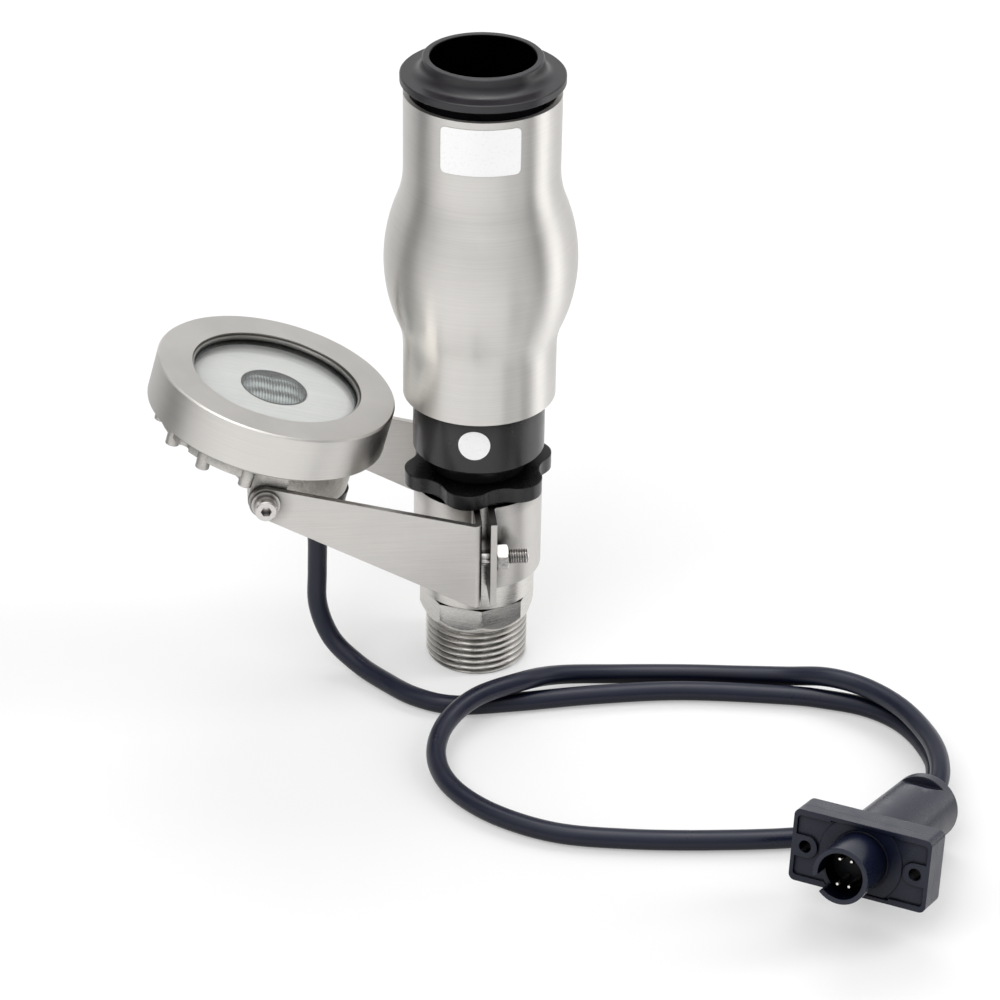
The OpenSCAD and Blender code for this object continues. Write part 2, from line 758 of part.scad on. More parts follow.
// Shallow dish with its flange, a drum off toward the cable, a wall with lugs on the far side and two tabs
module rear_housing() {
  color("#a9a49c")
    in_lamp_frame()
      difference() {
        union() {
          rotate_extrude()
            polygon(concat(
              [[0, -dish_depth]],
              arc([dish_r - 2.5, 2.5 - dish_depth], 2.5, -90, 0, 6),
              [[dish_r, -flange_low], [flange_r, -flange_low], [flange_r, -ceiling], [seal_out, -ceiling],
                [seal_out, -ceiling - 1.2], [seal_in, -ceiling - 1.2], [rim_out, -rim_top],
                [rim_in, -rim_top], [rim_in, -plate_low], [cavity_1, -plate_low], [cavity_1, -board_low],
                [0, -board_low]]));
          translate([drum_a, 0, 0])
            rotate_extrude()
              polygon(concat(
                [[0, -drum_depth]],
                arc([drum_r - 2, 2 - drum_depth], 2, -90, 0, 6),
                [[drum_r, 1 - flange_low], [0, 1 - flange_low]]));
          rotate([0, 0, 180 - wall_turn / 2])
            rotate_extrude(angle = wall_turn)
              translate([dish_r - 1, -wall_low])
                square([wall_r - dish_r + 1, wall_low - flange_low + 1]);
          for (k = [-3 : 3])
            rotate([0, 0, 180 + lug_turn * k])
              translate([lug_at, 0, -lug_low])
                cylinder(r = lug_r, h = lug_low - flange_low + 1, $fn = 48);
          for (s = [0, 1])
            mirror([0, s, 0])
              housing_tab();
        }
        translate([drum_a, 0, -driver_low])
          cylinder(r = cavity_2, h = driver_low - board_low + 0.5);
        translate([drum_a, 0, -cavity_low])
          cylinder(r = cavity_3, h = cavity_low - driver_low + 0.5);
        translate([gland_a, 0, -drum_depth - 1])
          cylinder(r = gland_spigot_r + close_fit, h = 7);
        translate([gland_a, 0, -cavity_low])
          cylinder(r = cable_r + 0.6, h = cavity_low - driver_low + 1);
        for (s = [0, 1])
          mirror([0, s, 0])
            translate([pivot_a, tab_y + 1, -pivot_depth])
              rotate([90, 0, 0])
                cylinder(r = pivot_shank_r + close_fit, h = 6.5, $fn = 48);
        for (turn = housing_screw_turns)
          rotate([0, 0, turn])
            translate([housing_screw_at, 0, -housing_screw_seat]) {
              cylinder(r = housing_screw_r + close_fit, h = housing_screw_seat, $fn = 32);
              translate([0, 0, -wall_low])
                cylinder(r = housing_head_r + 0.2, h = wall_low, $fn = 32);
            }
      }
}

module housing_seal() {
  color("dimgray")
    in_lamp_frame()
      ring(seal_out, seal_in, -ceiling - 1.2, -ceiling);
}

module housing_screws() {
  color("gainsboro")
    in_lamp_frame()
      for (turn = housing_screw_turns)
        rotate([0, 0, turn])
          translate([housing_screw_at, 0, -housing_screw_seat])
            difference() {
              union() {
                translate([0, 0, -2.4])
                  cylinder(r = housing_head_r, h = 2.4, $fn = 48);
                translate([0, 0, -1])
                  cylinder(r = housing_screw_r, h = housing_screw_seat - ceiling + 4.8, $fn = 32);
              }
              translate([0, 0, -3.4])
                cylinder(r = 1.15, h = 2.2, $fn = 6);
            }
}

module pivot_screws() {
  color("gainsboro")
    for (s = [0, 1])
      mirror([0, s, 0])
        translate([-pivot_x, 0, pivot_z])
          rotate([-90, 0, 0])
            difference() {
              union() {
                translate([0, 0, tab_y - 5])
                  cylinder(r = pivot_shank_r, h = washer_y + washer_h - tab_y + 6, $fn = 48);
                translate([0, 0, washer_y + washer_h])
                  cylinder(r = pivot_head_r, h = pivot_head_h - 0.4);
                translate([0, 0, washer_y + washer_h + pivot_head_h - 0.4])
                  cylinder(r1 = pivot_head_r, r2 = pivot_head_r - 0.4, h = 0.4);
              }
              translate([0, 0, washer_y + washer_h + pivot_head_h - 2.2])
                cylinder(r = 1.75, h = 3, $fn = 6);
            }
}

module pivot_washers() {
  color("gainsboro")
    for (s = [0, 1])
      mirror([0, s, 0])
        translate([-pivot_x, 0, pivot_z])
          rotate([-90, 0, 0])
            ring(washer_r, pivot_shank_r + close_fit, washer_y, washer_y + washer_h);
}

module cable_gland() {
  color("#1c1c1e")
    in_lamp_frame()
      translate([gland_a, 0, 0])
        difference() {
          union() {
            translate([0, 0, -gland_low])
              cylinder(r = gland_r, h = gland_low - drum_depth);
            translate([0, 0, -drum_depth - eps])
              cylinder(r = gland_spigot_r, h = 5 + eps);
          }
          translate([0, 0, -gland_low - 1])
            cylinder(r = gland_bore, h = gland_low + 2);
        }
}

module gland_nut() {
  color("#1c1c1e")
    in_lamp_frame()
      translate([gland_a, 0, 0])
        difference() {
          rotate_extrude()
            polygon([
              [0, -tail_depth], [cable_r + 0.9, -tail_depth], [cable_r + 2.2, -gland_low - 3],
              [gland_r - 1, -gland_low - 3], [gland_r - 1, -gland_low], [0, -gland_low]
            ]);
          translate([0, 0, -tail_depth - 1])
            cylinder(r = gland_bore, h = tail_depth - gland_low + 2);
        }
}

module cable_tail() {
  color("#24262c")
    in_lamp_frame()
      translate([gland_a, 0, -tail_depth])
        cylinder(r = cable_r, h = tail_depth - 18);
}

// Cable and connector

module cable_drop() {
  color("#24262c")
    cable_tube(drop_line, drop_tangents, drop_normals);
}

module cable_run() {
  color("#24262c")
    cable_tube(run_line, run_tangents, run_normals);
}

// Rounded plate in the plane of the connector's face, from depth y0 to y1
module plug_plate(w, h, r, y0, y1) {
  translate([0, y1, 0])
    rotate([90, 0, 0])
      union() {
        translate([-w / 2 + r, -h / 2, 0])
          cube([w - 2 * r, h, y1 - y0]);
        translate([-w / 2, -h / 2 + r, 0])
          cube([w, h - 2 * r, y1 - y0]);
        for (x = [-1, 1], z = [-1, 1])
          translate([x * (w / 2 - r), z * (h / 2 - r), 0])
            cylinder(r = r, h = y1 - y0, $fn = 48);
      }
}

module plug_bore(r, y0, y1, x = 0, fn = 64) {
  translate([x, y1, 0])
    rotate([90, 0, 0])
      cylinder(r = r, h = y1 - y0, $fn = fn);
}

module plug_flange() {
  color("#2b2e36")
    in_plug_frame()
      difference() {
        plug_plate(plug_w, plug_h, 2, 0, plug_front_t);
        difference() {
          union() {
            plug_plate(plug_w - 2.4, plug_h - 3.6, 1.2, -1, recess);
            translate([-10, -1, 1.2 - plug_h / 2])
              cube([20, 1 + recess, plug_h - 2.4]);
          }
          plug_bore(pad_r, recess - pad_h, recess + 1);
          for (s = [-1, 1]) {
            plug_bore(3.4, -2, recess + 1, s * (plug_hole_x - 0.4));
            translate([s > 0 ? plug_hole_x : -plug_w / 2, -2, -3.4])
              cube([plug_w / 2 - plug_hole_x, recess + 3, 6.8]);
          }
        }
        plug_bore(shroud_seat_r + close_fit, -2, plug_front_t + 1);
        for (s = [-1, 1])
          plug_bore(plug_hole_r, -2, plug_front_t + 1, s * plug_hole_x, 48);
      }
}

module plug_boot() {
  color("#2f323a")
    in_plug_frame()
      difference() {
        union() {
          plug_plate(plug_w, plug_h, 2, plug_front_t, plug_t);
          translate([0, plug_t - 1, 0])
            rotate([-90, 0, 0])
              cylinder(r1 = 11, r2 = boot_r, h = boot_len - plug_t + 1);
        }
        plug_bore(shroud_seat_r + 1 + close_fit, plug_front_t - 1, plug_front_t + 2);
        for (s = [-1, 1])
          plug_bore(plug_hole_r, plug_front_t - 1, plug_t + 2, s * plug_hole_x, 48);
        translate([-boot_r, boot_len - recess_end - recess_len, boot_r - 0.3])
          rotate([-15, 0, 0])
            cube([2 * boot_r, recess_len, 6]);
      }
}

module plug_shroud() {
  color("#26282f")
    in_plug_frame()
      difference() {
        union() {
          plug_bore(shroud_r, -shroud_len, plug_front_t + 2);
          plug_bore(shroud_seat_r, recess - pad_h, plug_front_t + 2);
          plug_bore(shroud_seat_r + 1, plug_front_t, plug_front_t + 2);
        }
        plug_bore(insert_r, -shroud_len - 1, plug_front_t + 3);
        rotate([0, -29, 0])
          translate([-shroud_r - 1, -shroud_len - 1, -2.4])
            cube([4, 7, 4.8]);
      }
}

module plug_insert() {
  color("#101114")
    in_plug_frame()
      difference() {
        plug_bore(insert_r - close_fit, -3, plug_front_t + 2);
        for (x = [-1, 1], z = [-1, 1])
          translate([x * pin_x, 0, z * pin_z])
            plug_bore(pin_r + close_fit, -4, plug_front_t + 3, 0, 32);
      }
}

module plug_pins() {
  color("gainsboro")
    in_plug_frame()
      for (x = [-1, 1], z = [-1, 1])
        translate([x * pin_x, 0, z * pin_z]) {
          plug_bore(pin_r, 1 - shroud_len + 3, plug_front_t + 2, 0, 32);
          translate([0, 1 - shroud_len + 3, 0])
            rotate([90, 0, 0])
              cylinder(r1 = pin_r, r2 = pin_r - 0.4, h = 0.8, $fn = 32);
        }
}

base_fitting();
neck_seal();
nut_gasket();
star_lock_nut();
nozzle_sleeve();
jet_nozzle();
jet_seal();
jacket();
jacket_seal();
outlet_tube();
fork_bracket();
clamp_strap();
clamp_bolts();
clamp_nuts();
bezel_ring();
lens_glass();
lens_gasket();
reflector_plate();
led_optic();
led_chips();
led_board();
driver_board();
rear_housing();
housing_seal();
housing_screws();
pivot_screws();
pivot_washers();
cable_gland();
gland_nut();
cable_tail();
cable_drop();
cable_run();
plug_boot();
plug_flange();
plug_shroud();
plug_insert();
plug_pins();
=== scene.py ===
"""Looks of an underwater pond light on an aerating fountain nozzle.

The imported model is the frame. Lengths below are in millimetres and become metres where a mesh is
made.
"""
import math

import bmesh
import bpy
from mathutils import Matrix, Vector


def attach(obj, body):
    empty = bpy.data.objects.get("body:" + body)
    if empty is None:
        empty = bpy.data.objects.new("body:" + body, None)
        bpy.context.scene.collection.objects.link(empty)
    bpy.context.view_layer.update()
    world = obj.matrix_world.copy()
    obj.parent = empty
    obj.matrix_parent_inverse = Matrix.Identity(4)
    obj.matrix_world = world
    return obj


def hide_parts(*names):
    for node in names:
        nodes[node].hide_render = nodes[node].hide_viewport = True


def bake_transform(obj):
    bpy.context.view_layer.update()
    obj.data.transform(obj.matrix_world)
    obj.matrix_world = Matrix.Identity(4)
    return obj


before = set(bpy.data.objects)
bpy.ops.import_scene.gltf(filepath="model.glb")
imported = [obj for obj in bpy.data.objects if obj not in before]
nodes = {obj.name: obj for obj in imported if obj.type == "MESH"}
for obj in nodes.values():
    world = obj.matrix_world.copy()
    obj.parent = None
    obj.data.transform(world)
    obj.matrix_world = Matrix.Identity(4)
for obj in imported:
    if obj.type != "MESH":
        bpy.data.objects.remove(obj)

MM = 0.001
FULL_TURN = 2 * math.pi
scene = bpy.context.scene
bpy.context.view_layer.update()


# Places that the construction gives: the lamp and the connector each have a frame of their own

PIVOT_AT = (-69.1, 0, 77.4)
LAMP_TILT = 15
FACE_FROM_PIVOT = (-2, 0, 28)
PLUG_AT = (97.8, -156.6, 23.7)
PLUG_TURN = -34.5
PLUG_NOSE = 14
PLUG_ROLL = -4


def rotation(degrees, axis):
    return Matrix.Rotation(math.radians(degrees), 4, axis)


LAMP = Matrix.Translation(PIVOT_AT) @ rotation(LAMP_TILT, "Y") @ Matrix.Translation(FACE_FROM_PIVOT)
PLUG = (Matrix.Translation(PLUG_AT) @ rotation(PLUG_TURN, "Z") @ rotation(-PLUG_NOSE, "X")
        @ rotation(PLUG_ROLL, "Y"))


# Camera at the photograph's viewpoint

CAMERA_AT = Vector((-89.63, -930.88, 611.98))
CAMERA_FORWARD = Vector((0.089, 0.8555, -0.5102))
CAMERA_RIGHT = Vector((0.9954, -0.0951, 0.0143))
SENSOR_WIDTH = 36
FOCAL_LENGTH = 121.14
NEAREST_SEEN = 20


def add_camera():
    forward = CAMERA_FORWARD.normalized()
    right = (CAMERA_RIGHT - CAMERA_RIGHT.dot(forward) * forward).normalized()
    up = right.cross(forward)
    data = bpy.data.cameras.new("photo_camera")
    data.sensor_width = SENSOR_WIDTH
    data.lens = FOCAL_LENGTH
    data.clip_start = NEAREST_SEEN * MM
    camera = bpy.data.objects.new("photo_camera", data)
    scene.collection.objects.link(camera)
    turn = Matrix((right, up, -forward)).transposed().to_4x4()
    camera.matrix_world = Matrix.Translation(CAMERA_AT * MM) @ turn
    scene.camera = camera


add_camera()


# Mesh helpers

# Points closer than this many metres are one
WELD = 1e-6


def add_mesh(name, points, faces, place=Matrix.Identity(4), smooth_below=35):
    """A mesh object from points in millimetres, shaded smooth where faces meet below an angle."""
    mesh = bpy.data.meshes.new(name)
    mesh.from_pydata([(place @ Vector(p)) * MM for p in points], [], faces)
    shape = bmesh.new()
    shape.from_mesh(mesh)
    bmesh.ops.remove_doubles(shape, verts=shape.verts, dist=WELD)
    bmesh.ops.recalc_face_normals(shape, faces=shape.faces)
    shape.to_mesh(mesh)
    shape.free()
    mesh.shade_smooth()
    mesh.set_sharp_from_angle(angle=math.radians(smooth_below))
    made = bpy.data.objects.new(name, mesh)
    scene.collection.objects.link(made)
    return made


def polar(rows, steps, closed):
    """Points and faces of rows round the Z axis; a row turns an angle into (radius, height)."""
    points = []
    for row in rows:
        for k in range(steps):
            angle = FULL_TURN * k / steps
            radius, height = row(angle)
            points.append((radius * math.cos(angle), radius * math.sin(angle), height))
    count = len(rows)
    faces = []
    for i in range(count if closed else count - 1):
        for k in range(steps):
            a, b = i * steps, (i + 1) % count * steps
            faces.append((a + k, a + (k + 1) % steps, b + (k + 1) % steps, b + k))
    return points, faces


def circle(radius, height):
    return lambda angle: (radius, height)


def corner_radius(across, count):
    """Radius of a regular polygon's corners, from its width across flats."""
    return across / 2 / math.cos(math.pi / count)


def polygon_row(across, count, limit, height):
    """A row round a regular polygon with a corner on the X axis, its corners cut to a limit."""
    sector = FULL_TURN / count

    def row(angle):
        return min(limit, across / 2 / math.cos(angle % sector - sector / 2)), height
    return row


def chamfer_rows(row, low, high, height, rise, steps):
    """Rows whose limit goes from low to high while their height goes up by rise."""
    return [row(low + (high - low) * i / steps, height + rise * i / steps)
            for i in range(steps + 1)]


def clamp(value):
    return max(0.0, min(1.0, value))


def join(parts):
    """Joins several (points, faces) into one."""
    points, faces = [], []
    for part_points, part_faces in parts:
        start = len(points)
        points += part_points
        faces += [tuple(start + i for i in face) for face in part_faces]
    return points, faces


def moved(part, place):
    points, faces = part
    return [place @ Vector(p) for p in points], faces


# Cable: one tube from the gland to the connector, along the route of the construction

CABLE_D = 6.3
CABLE_SIDES = 20
CABLE_STEPS = 8
FLOOR_Z = 3.3
GLAND_A = 24
TAIL_DEPTH = 46
TAIL_STRAIGHT = 12
BOOT_LEN = 53
BOOT_STRAIGHT = 22


def lamp_point(a, depth):
    return LAMP @ Vector((a, 0, -depth))


def plug_point(y):
    return PLUG @ Vector((0, y, 0))


CABLE_TOP = lamp_point(GLAND_A, TAIL_DEPTH)
CABLE_END = plug_point(BOOT_LEN)
DROP_ROUTE = [
    (-52, 0, 44), (-52.2, -0.5, 33), (-52.2, -2.5, 21), (-48, -6.5, 10.5), (-40, -13.5, 4.8)
]
RUN_ROUTE = [
    (-32, -22, FLOOR_Z), (-22.5, -32, FLOOR_Z), (-10, -37.8, FLOOR_Z), (10, -37.4, FLOOR_Z),
    (36, -35.2, FLOOR_Z), (64, -35, FLOOR_Z), (96, -39.8, FLOOR_Z), (110, -43.6, FLOOR_Z),
    (122, -49, FLOOR_Z), (131, -58, FLOOR_Z), (136, -70.5, FLOOR_Z), (137, -85, FLOOR_Z),
    (130, -101, FLOOR_Z), (113, -112.5, FLOOR_Z), (90, -116.6, FLOOR_Z), (62, -116.2, FLOOR_Z),
    (36, -113.6, FLOOR_Z), (14, -108.5, FLOOR_Z), (-4, -97, FLOOR_Z), (-15.2, -82.5, 3.6),
    (-18.6, -68, 4.9), (-14.8, -55, 7.7), (-4.5, -44.6, 10.4), (11, -36.6, 10.5),
    (24, -28.6, 7.2), (44, -24.2, 3.7), (66, -25.2, FLOOR_Z), (84, -29, 4.4), (98, -33, 6),
    (110, -40, 9.7), (121, -47.4, 10.2), (130, -59, 10.2), (135, -73, 10.4), (136.4, -87, 11.2),
    (134, -101.5, 11.6)
]


def catmull(p0, p1, p2, p3, t):
    return 0.5 * (2 * p1 + (p2 - p0) * t + (2 * p0 - 5 * p1 + 4 * p2 - p3) * t ** 2
                  + (3 * p1 - p0 - 3 * p2 + p3) * t ** 3)


def smooth_line(route, head, tail, steps):
    """A line through the route; head and tail set the directions of its ends."""
    guide = [head] + route + [tail]
    line = [catmull(*guide[i:i + 4], k / steps)
            for i in range(len(route) - 1) for k in range(steps)]
    return line + [route[-1]]


def tube(line, radius, sides, first_normal):
    """Points and faces of a closed round tube whose ring turns as little as it can."""
    points, normal = [], first_normal
    for i, point in enumerate(line):
        tangent = (line[min(i + 1, len(line) - 1)] - line[max(i - 1, 0)]).normalized()
        normal = (normal - normal.dot(tangent) * tangent).normalized()
        side = tangent.cross(normal)
        for k in range(sides):
            angle = FULL_TURN * k / sides
            points.append(point + radius * (math.cos(angle) * normal + math.sin(angle) * side))
    faces = [(i + k, i + (k + 1) % sides, i + sides + (k + 1) % sides, i + sides + k)
             for i in range(0, len(points) - sides, sides) for k in range(sides)]
    return points, faces + [tuple(range(sides)), tuple(range(len(points) - sides, len(points)))]


def add_cable():
    route = [CABLE_TOP] + [Vector(p) for p in DROP_ROUTE + RUN_ROUTE] + [CABLE_END]
    head = lamp_point(GLAND_A, TAIL_DEPTH - TAIL_STRAIGHT)
    tail = plug_point(BOOT_LEN - BOOT_STRAIGHT)
    line = smooth_line(route, head, tail, CABLE_STEPS)
    cable = add_mesh("cable", *tube(line, CABLE_D / 2, CABLE_SIDES, Vector((0, 1, 0))))
    length = sum((b - a).length for a, b in zip(line, line[1:]))
    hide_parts("cable_drop", "cable_run")
    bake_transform(cable)
    return cable


cable = add_cable()


# Threaded metal: the base with its pipe thread and the clamp's bolts and nuts

THREAD_R = 16.62
THREAD_LEN = 17
THREAD_PITCH = 2.31
THREAD_DEPTH = 1.3
# Share of a thread's depth by which its flanks would run on past its flat crest and root
THREAD_FLAT = 0.15
THREAD_LEAD = 1.2
THREAD_FADE = 1.6
THREAD_RELIEF = 0.6
THREAD_ROWS = 88
OCTAGON = 34.5
OCTAGON_STEP = 0.3
OCTAGON_CHAMFER = 2.8
OCTAGON_ROWS = 10
OCTAGON_TOP = 26
PIPE_R = 18.6
PIPE_STEP = 0.15
PIPE_FLARE = 1
PIPE_TOP = 66.3
PIPE_CHAMFER = 0.4
WATERWAY_R = 12.5
SOCKET_R = 15.58
SOCKET_LOW = 39.3
BASE_SIDES = 192
# A limit this much beyond a polygon's corners leaves them whole
PAST_CORNER = 0.1


def thread_groove(angle, z, pitch):
    """Share of a thread's depth that is cut away on its helix, with flat crests and roots."""
    turn = (z / pitch - angle / FULL_TURN) % 1
    return clamp((1 + 2 * THREAD_FLAT) * abs(2 * turn - 1) - THREAD_FLAT)


def pipe_thread_row(z):
    start = clamp(z / THREAD_LEAD)
    end = clamp((THREAD_LEN - THREAD_RELIEF - z) / THREAD_FADE)

    def row(angle):
        cut = THREAD_DEPTH * (1 - end * (1 - thread_groove(angle, z, THREAD_PITCH)))
        if z > THREAD_LEN - THREAD_RELIEF:
            cut = THREAD_DEPTH * clamp((THREAD_LEN - z) / THREAD_RELIEF)
        return THREAD_R - max(cut, THREAD_LEAD * (1 - start)), z
    return row


def octagon_row(limit, z):
    return polygon_row(OCTAGON, 8, limit, z)


def base_rows():
    whole = corner_radius(OCTAGON, 8) + PAST_CORNER
    thread = [pipe_thread_row(THREAD_LEN * i / THREAD_ROWS) for i in range(THREAD_ROWS + 1)]
    octagon = chamfer_rows(octagon_row, THREAD_R + OCTAGON_STEP, whole, THREAD_LEN,
                           OCTAGON_CHAMFER, OCTAGON_ROWS)
    octagon.append(octagon_row(whole, OCTAGON_TOP))
    pipe = [circle(OCTAGON / 2 + PIPE_STEP, OCTAGON_TOP), circle(PIPE_R, OCTAGON_TOP + PIPE_FLARE),
            circle(PIPE_R, PIPE_TOP - PIPE_CHAMFER), circle(PIPE_R - PIPE_CHAMFER, PIPE_TOP)]
    inside = [circle(SOCKET_R, PIPE_TOP), circle(SOCKET_R, SOCKET_LOW),
              circle(WATERWAY_R, SOCKET_LOW), circle(WATERWAY_R, 0)]
    return thread + octagon + pipe + inside


def add_base():
    base = add_mesh("base_threaded", *polar(base_rows(), BASE_SIDES, closed=True))
    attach(base, "base")
    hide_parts("base_fitting")
    return base


BOLT_Y = 25.2
BOLT_Z = 50.8
BOLT_R = 2.5
BOLT_END = 14
BOLT_TIP = 0.7
BOLT_PITCH = 0.8
BOLT_THREAD_DEPTH = 0.4
BOLT_ROWS = 110
FASTENER_SIDES = 60
FASTENER_SMOOTH = 28
EAR_OUT = 3.35
HEX = 8
HEX_ROWS = 5
HEX_CUT = corner_radius(HEX, 6) + 0.05
HEX_WHOLE = corner_radius(HEX, 6) + PAST_CORNER
HEAD_H = 3.5
HEAD_FACE_R = HEX / 2 - 0.2
HEAD_CHAMFER = 0.5
NUT_H = 4
NUT_FACE_R = HEX / 2 - 0.15
NUT_CHAMFER = 0.45
NUT_BORE = BOLT_R + 0.05
NUT_SINK = 0.4


def hex_row(limit, z):
    return polygon_row(HEX, 6, limit, z)


def bolt_thread_row(z):
    def row(angle):
        tip = BOLT_TIP * clamp((z - BOLT_END + BOLT_TIP) / BOLT_TIP)
        return BOLT_R - max(BOLT_THREAD_DEPTH * thread_groove(angle, z, BOLT_PITCH), tip), z
    return row


def bolt_rows():
    low = -EAR_OUT - HEAD_H
    head = [circle(0, low), circle(HEAD_FACE_R, low)]
    head += chamfer_rows(hex_row, HEAD_FACE_R, HEX_CUT, low, HEAD_CHAMFER, HEX_ROWS)[1:]
    head += [hex_row(HEX_WHOLE, -EAR_OUT), circle(BOLT_R, -EAR_OUT)]
    shank = [bolt_thread_row(EAR_OUT + (BOLT_END - EAR_OUT) * i / BOLT_ROWS)
             for i in range(BOLT_ROWS + 1)]
    return head + shank + [circle(0, BOLT_END)]


def nut_rows():
    rise = chamfer_rows(hex_row, NUT_FACE_R, HEX_CUT, 0, NUT_CHAMFER, HEX_ROWS)
    fall = chamfer_rows(hex_row, NUT_FACE_R, HEX_CUT, NUT_H, -NUT_CHAMFER, HEX_ROWS)[::-1]
    bore = [circle(NUT_BORE + NUT_SINK, NUT_H), circle(NUT_BORE, NUT_H - NUT_SINK),
            circle(NUT_BORE, 0)]
    return rise + fall + bore


def add_clamp_fasteners():
    bolts, nuts = [], []
    for side in (-1, 1):
        place = Matrix.Translation((0, side * BOLT_Y, BOLT_Z)) @ rotation(90, "Y")
        bolts.append(moved(polar(bolt_rows(), FASTENER_SIDES, closed=False), place))
        seat = place @ Matrix.Translation((0, 0, EAR_OUT))
        nuts.append(moved(polar(nut_rows(), FASTENER_SIDES, closed=True), seat))
    made = []
    for name, parts, node in (("bolts_threaded", bolts, "clamp_bolts"),
                              ("nuts_chamfered", nuts, "clamp_nuts")):
        piece = add_mesh(name, *join(parts), smooth_below=FASTENER_SMOOTH)
        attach(piece, "bracket")
        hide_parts(node)
        made.append(piece)
    return made


base = add_base()
fasteners = add_clamp_fasteners()


# Optic: four domed lenses in one moulding, with fine ribs across

OPTIC_R = 10.6
OPTIC_TOP = 6.4
OPTIC_WALL = 0.9
OPTIC_ROWS = 60
OPTIC_SIDES = 240
FACE_T = 1.6
FACE_SINK = 0.1
RIM = 0.5
RIM_FADE = 0.3
BOARD_TOP = 13
LENS_AT = 4.7
LENS_R = 4.6
LENS_H = 0.85
RIB_PITCH = 0.95
RIB_H = 0.06


def optic_depth(x, y):
    """Depth of the moulding's face below the flat of its rim."""
    reach = min(math.hypot(x - LENS_AT * math.cos(a), y - LENS_AT * math.sin(a))
                for a in (math.pi / 4 + k * math.pi / 2 for k in range(4)))
    dome = LENS_H * (reach / LENS_R) ** 2
    rib = RIB_H * math.cos(FULL_TURN * x / RIB_PITCH)
    edge = clamp((OPTIC_R - RIM - math.hypot(x, y)) / RIM_FADE)
    return (FACE_SINK + dome + rib) * edge


def optic_row(radius):
    def row(angle):
        return radius, -OPTIC_TOP - optic_depth(radius * math.cos(angle), radius * math.sin(angle))
    return row


def add_optic():
    face = [optic_row(OPTIC_R * i / OPTIC_ROWS) for i in range(OPTIC_ROWS + 1)]
    inner_r, inner_top = OPTIC_R - OPTIC_WALL, -OPTIC_TOP - FACE_T
    wall = [circle(OPTIC_R, -BOARD_TOP), circle(inner_r, -BOARD_TOP), circle(inner_r, inner_top),
            circle(0, inner_top)]
    shape = polar(face + wall, OPTIC_SIDES, closed=False)
    optic = add_mesh("optic_ribbed", *shape, place=LAMP)
    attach(optic, "lamp")
    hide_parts("led_optic")
    return optic


optic = add_optic()


# Bare stickers that follow the round faces they are stuck on

JACKET_R = 24.2
JACKET_STICKER_W = 25
JACKET_STICKER_H = 15
JACKET_STICKER_CORNER = 1.6
COLLAR_R = 21
COLLAR_STICKER_R = 5.05
STICKER_T = 0.12
STICKER_GAP = 0.02
STICKER_COLUMNS = 48
STICKER_LAYERS = 6


def sticker(name, radius, azimuth, height, width, half_height):
    """A thin plate bent round the Z axis; half_height gives its outline along its width."""
    columns, layers = STICKER_COLUMNS, STICKER_LAYERS
    points, faces = [], []
    for depth in (0, STICKER_T):
        for i in range(columns + 1):
            u = -width / 2 * math.cos(math.pi * i / columns)
            angle = math.radians(azimuth) + u / radius
            r = radius + STICKER_GAP + depth
            for k in range(layers + 1):
                z = height + half_height(u) * (2 * k / layers - 1)
                points.append((r * math.cos(angle), r * math.sin(angle), z))
    row = layers + 1
    top = (columns + 1) * row
    for i in range(columns):
        for k in range(layers):
            a, b = i * row + k, (i + 1) * row + k
            faces += [(a, a + 1, b + 1, b), (top + a, top + b, top + b + 1, top + a + 1)]
        for k in (0, layers):
            a, b = i * row + k, (i + 1) * row + k
            faces.append((a, b, top + b, top + a))
    for i in (0, columns):
        for k in range(layers):
            a = i * row + k
            faces.append((a, a + 1, top + a + 1, top + a))
    made = add_mesh(name, points, faces)
    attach(made, "nozzle")
    return made


def rounded(width, height, corner):
    def half_height(u):
        over = max(0.0, abs(u) - (width / 2 - corner))
        return height / 2 - corner + math.sqrt(max(0.0, corner ** 2 - over ** 2))
    return half_height


def round_disc(radius):
    return lambda u: math.sqrt(max(0.0, radius ** 2 - u ** 2))


jacket_sticker = sticker(
    "sticker_jacket", JACKET_R, azimuth=-96.7, height=190.9, width=JACKET_STICKER_W,
    half_height=rounded(JACKET_STICKER_W, JACKET_STICKER_H, JACKET_STICKER_CORNER))
collar_sticker = sticker(
    "sticker_collar", COLLAR_R, azimuth=-99.2, height=89.2, width=2 * COLLAR_STICKER_R,
    half_height=round_disc(COLLAR_STICKER_R))


# Materials

# Most of a noise texture lies between these two values
NOISE_LOW = 0.3
NOISE_HIGH = 0.7
# Numbers of a mix node's sockets, by what it mixes: the share and the two things mixed, the result
MIX_SOCKETS = {"FLOAT": ((0, 2, 3), 0), "RGBA": ((0, 6, 7), 2)}
BLACK = (0, 0, 0, 1)
WHITE = (1, 1, 1, 1)
OPENNESS_SAMPLES = 6
EDGE_SAMPLES = 4


